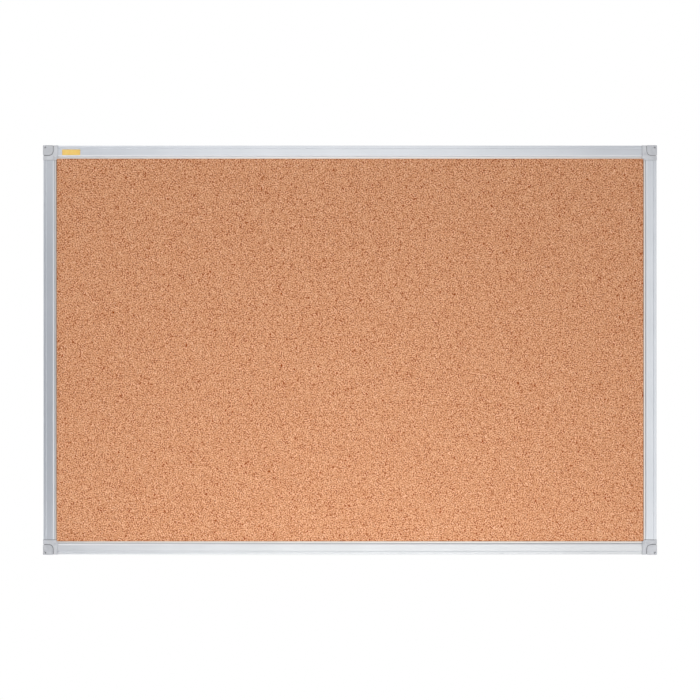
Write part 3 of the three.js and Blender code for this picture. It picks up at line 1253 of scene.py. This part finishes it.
@dataclass
class Label:
    """The bare gold label on the front of the top rail, near its left end."""

    width: float = 26.6 * MM
    height: float = 8.4 * MM
    thickness: float = 0.12 * MM
    corner_radius: float = 0.5 * MM
    corner_steps: int = 5
    rim_steps: int = 2
    from_left: float = 27.6 * MM
    from_top: float = 5.7 * MM

    def build(self, shop: Workshop) -> bpy.types.Object:
        """Makes the label and puts it on the rail.

        Args:
            shop: The shared groups and tools.

        Returns:
            The label, riding on the board.
        """
        rail_low, rail_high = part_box("rail_top")
        left_low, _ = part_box("rail_left")
        middle_x = left_low.x + self.from_left + self.width / 2
        middle_z = rail_high.z - self.from_top - self.height / 2
        middle = (middle_x, rail_low.y, middle_z)
        piece = self.plate(middle)
        film = FoilFinish("gold_film", middle, self.width / 2, self.height / 2)
        film.lay(piece, shop.groups)
        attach(piece, "board")
        log.info("built %s", piece.name)
        return piece

    def plate(self, middle: Triple) -> bpy.types.Object:
        """Makes the thin plate with round corners and a softened front edge.

        Args:
            middle: Middle of the face that sticks to the rail.

        Returns:
            The plate.
        """
        shape = bmesh.new()
        outline = []
        for turn, (side_x, side_z) in enumerate(SQUARE_CORNERS):
            centre_x = middle[0] + side_x * (self.width / 2 - self.corner_radius)
            centre_z = middle[2] + side_z * (self.height / 2 - self.corner_radius)
            for step in range(self.corner_steps + 1):
                angle = math.pi / 2 * (turn + step / self.corner_steps)
                place_x = centre_x + self.corner_radius * math.cos(angle)
                place_z = centre_z + self.corner_radius * math.sin(angle)
                outline.append(shape.verts.new((place_x, middle[1], place_z)))
        back = shape.faces.new(outline)
        raised = bmesh.ops.extrude_face_region(shape, geom=[back])
        moved = [item for item in raised["geom"] if isinstance(item, bmesh.types.BMVert)]
        bmesh.ops.translate(shape, verts=moved, vec=(0, -self.thickness, 0))
        rim = [edge for edge in shape.edges if all(vert in moved for vert in edge.verts)]
        bmesh.ops.bevel(
            shape, geom=rim, offset=self.thickness / 2, segments=self.rim_steps, profile=0.5, affect="EDGES"
        )
        bmesh.ops.recalc_face_normals(shape, faces=shape.faces)
        return add_shape("label_plate", shape)


def facing(place: Triple, target: Triple) -> Euler:
    """Gives the rotation that turns the -Z of an item at a place towards a point."""
    return (Vector(target) - Vector(place)).to_track_quat("-Z", "Y").to_euler()


@dataclass(frozen=True)
class SoftBox:
    """A soft studio lamp."""

    name: str
    place: Triple
    target: Triple
    width: float
    height: float
    power: float
    diffuse: bool = True
    glossy: bool = True

    def build(self) -> bpy.types.Object:
        """Hangs the lamp, turned towards its target.

        Returns:
            The lamp.
        """
        light = bpy.data.lights.new(self.name, "AREA")
        light.shape = "RECTANGLE"
        light.size = self.width
        light.size_y = self.height
        light.energy = self.power
        lamp = add_object(self.name, light)
        lamp.location = self.place
        lamp.rotation_euler = facing(self.place, self.target)
        lamp.visible_camera = False
        lamp.visible_diffuse = self.diffuse
        lamp.visible_glossy = self.glossy
        return lamp


@dataclass(frozen=True)
class Flag:
    """A cool grey card that only darkens what the metal reflects, as in product photography."""

    name: str
    place: Triple
    target: Triple
    width: float
    height: float
    tone: Colour = (0.44, 0.495, 0.64, 1.0)

    def build(self) -> bpy.types.Object:
        """Stands the card in the studio, out of the camera's sight.

        Returns:
            The card.
        """
        shape = bmesh.new()
        half_x, half_y = self.width / 2, self.height / 2
        shape.faces.new([shape.verts.new((half_x * side, half_y * end, 0)) for side, end in SQUARE_CORNERS])
        card = add_shape(self.name, shape)
        card.location = self.place
        card.rotation_euler = facing(self.place, self.target)
        card.visible_camera = False
        card.visible_diffuse = False
        card.visible_shadow = False
        grey = new_material(self.name)
        Bench(grey.node_tree).coat(Base_Color=self.tone, Roughness=1.0, Specular_IOR_Level=0.0)
        card.data.materials.append(grey)
        return card


@dataclass
class Studio:
    """Camera, lamps, background and floor.

    The picture's scale is its pixels to a metre at the rails' front. The shadow's core is the share of
    its reach over which the floor shows in full.
    """

    picture_width: int = 700
    picture_scale: float = 681.5
    camera_distance: float = 2.4
    sensor: float = 36.0
    world_level: float = 0.52
    floor_height: float = -0.9
    floor_reach: float = 7.0
    floor_sides: int = 64
    floor_tone: Colour = (0.8, 0.8, 0.8, 1.0)
    floor_rough: float = 0.9
    shadow_reach: Triple = (0.95, 0.45, 1.0)
    shadow_core: float = 0.45
    lamps: tuple[SoftBox, ...] = (
        SoftBox("top_left_lamp", (-0.9, -1.7, 1.5), ORIGIN, 0.6, 0.8, 5.0),
        SoftBox("front_lamp", (0.0, -2.8, 1.0), ORIGIN, 1.5, 1.0, 3.2),
        SoftBox("left_fill", (-1.7, -1.7, 1.3), ORIGIN, 1.0, 1.0, 2.5, glossy=False),
        SoftBox("low_fill", (0.05, -1.0, -0.68), (0.03, 0.0, -0.2), 0.3, 0.2, 5.8, glossy=False),
        SoftBox("right_strip", (1.15, -2.2, -0.2), ORIGIN, 0.5, 0.9, 1.2, diffuse=False),
        SoftBox("low_right_lamp", (1.7, -1.7, -0.5), ORIGIN, 0.8, 0.5, 1.2, diffuse=False),
        SoftBox("low_strip", (-0.2, -1.0, -0.74), (-0.16, 0.0, -0.2), 1.34, 0.2, 2.9, diffuse=False),
    )
    flags: tuple[Flag, ...] = (
        Flag("left_flag", (-0.85, -1.6, -0.11), (-0.44, 0.0, -0.07), 0.7, 1.44),
        Flag("top_right_flag", (0.72, -0.9, 0.75), (0.3, 0.0, 0.2), 0.68, 0.6, (0.48, 0.53, 0.66, 1.0)),
    )

    def build(self) -> None:
        """Sets up the whole studio."""
        bpy.context.scene.view_settings.view_transform = "Standard"
        self.build_camera()
        for item in self.lamps + self.flags:
            item.build()
        self.build_world()
        self.build_floor()
        log.info("set up the studio")

    def build_camera(self) -> None:
        """Places the camera dead in front of the board."""
        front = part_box("rail_top")[0].y
        lens = bpy.data.cameras.new("front_camera")
        lens.sensor_width = self.sensor
        lens.lens = self.sensor * self.camera_distance * self.picture_scale / self.picture_width
        camera = add_object("front_camera", lens)
        camera.location = (0, front - self.camera_distance, 0)
        camera.rotation_euler = (math.pi / 2, 0, 0)
        bpy.context.scene.camera = camera

    def show_behind(self, bench: Bench, near: Node, far: Node, seen: Source, end: str) -> None:
        """Shows the plain white to the camera and in metal or glass, and the lit shader to the rest.

        Args:
            bench: Bench of the material's or world's tree.
            near: The lit shader.
            far: The plain white one.
            seen: How much of the white one the camera sees.
            end: Name of the tree's last node.
        """
        path = bench.add("ShaderNodeLightPath")
        direct = bench.times(seen, path.outputs["Is Camera Ray"])
        mirrored = bench.math("MAXIMUM", path.outputs["Is Glossy Ray"], path.outputs["Is Transmission Ray"])
        chosen = bench.add("ShaderNodeMixShader")
        sources = (bench.math("MAXIMUM", direct, mirrored), near.outputs[0], far.outputs[0])
        for socket, source in zip(chosen.inputs, sources):
            bench.feed(socket, source)
        bench.fill(bench.tree.nodes[end], Surface=chosen.outputs[0])

    def build_world(self) -> None:
        """Lights the board evenly from all round, in front of a white background."""
        world = bpy.data.worlds.new("white_room")
        world.use_nodes = True
        bpy.context.scene.world = world
        bench = Bench(world.node_tree)
        light = world.node_tree.nodes["Background"]
        bench.fill(light, Color=WHITE, Strength=self.world_level)
        white = bench.add("ShaderNodeBackground")
        bench.fill(white, Color=WHITE, Strength=1.0)
        self.show_behind(bench, light, white, 1.0, "World Output")

    def build_floor(self) -> None:
        """Lays a pale floor that takes the board's shadow and fades into the background."""
        shape = bmesh.new()
        bmesh.ops.create_circle(shape, cap_ends=True, segments=self.floor_sides, radius=self.floor_reach)
        floor = add_shape("floor", shape)
        floor.location = (0, 0, self.floor_height)
        pale = new_material("pale_floor")
        floor.data.materials.append(pale)
        bench = Bench(pale.node_tree)
        bench.coat(Base_Color=self.floor_tone, Roughness=self.floor_rough, Specular_IOR_Level=0.0)
        reach = bench.vector("LENGTH", bench.vector("DIVIDE", bench.here(), self.shadow_reach))
        faded = bench.spread(reach, self.shadow_core, 1.0, 0.0, 1.0)
        surface = pale.node_tree.nodes["Principled BSDF"]
        self.show_behind(bench, surface, bench.add("ShaderNodeEmission"), faded, "Material Output")


def main() -> None:
    """Dresses the board, adds its label and sets up the studio."""
    logging.basicConfig(level=logging.INFO, format="%(name)s: %(message)s")
    shop = Workshop(SharedGroups.build(), EdgeSoftener())
    for part in (Panel(), RailFrame(), CornerSet()):
        part.dress(shop)
    Label().build(shop)
    Studio().build()


if __name__ == "__main__":
    main()
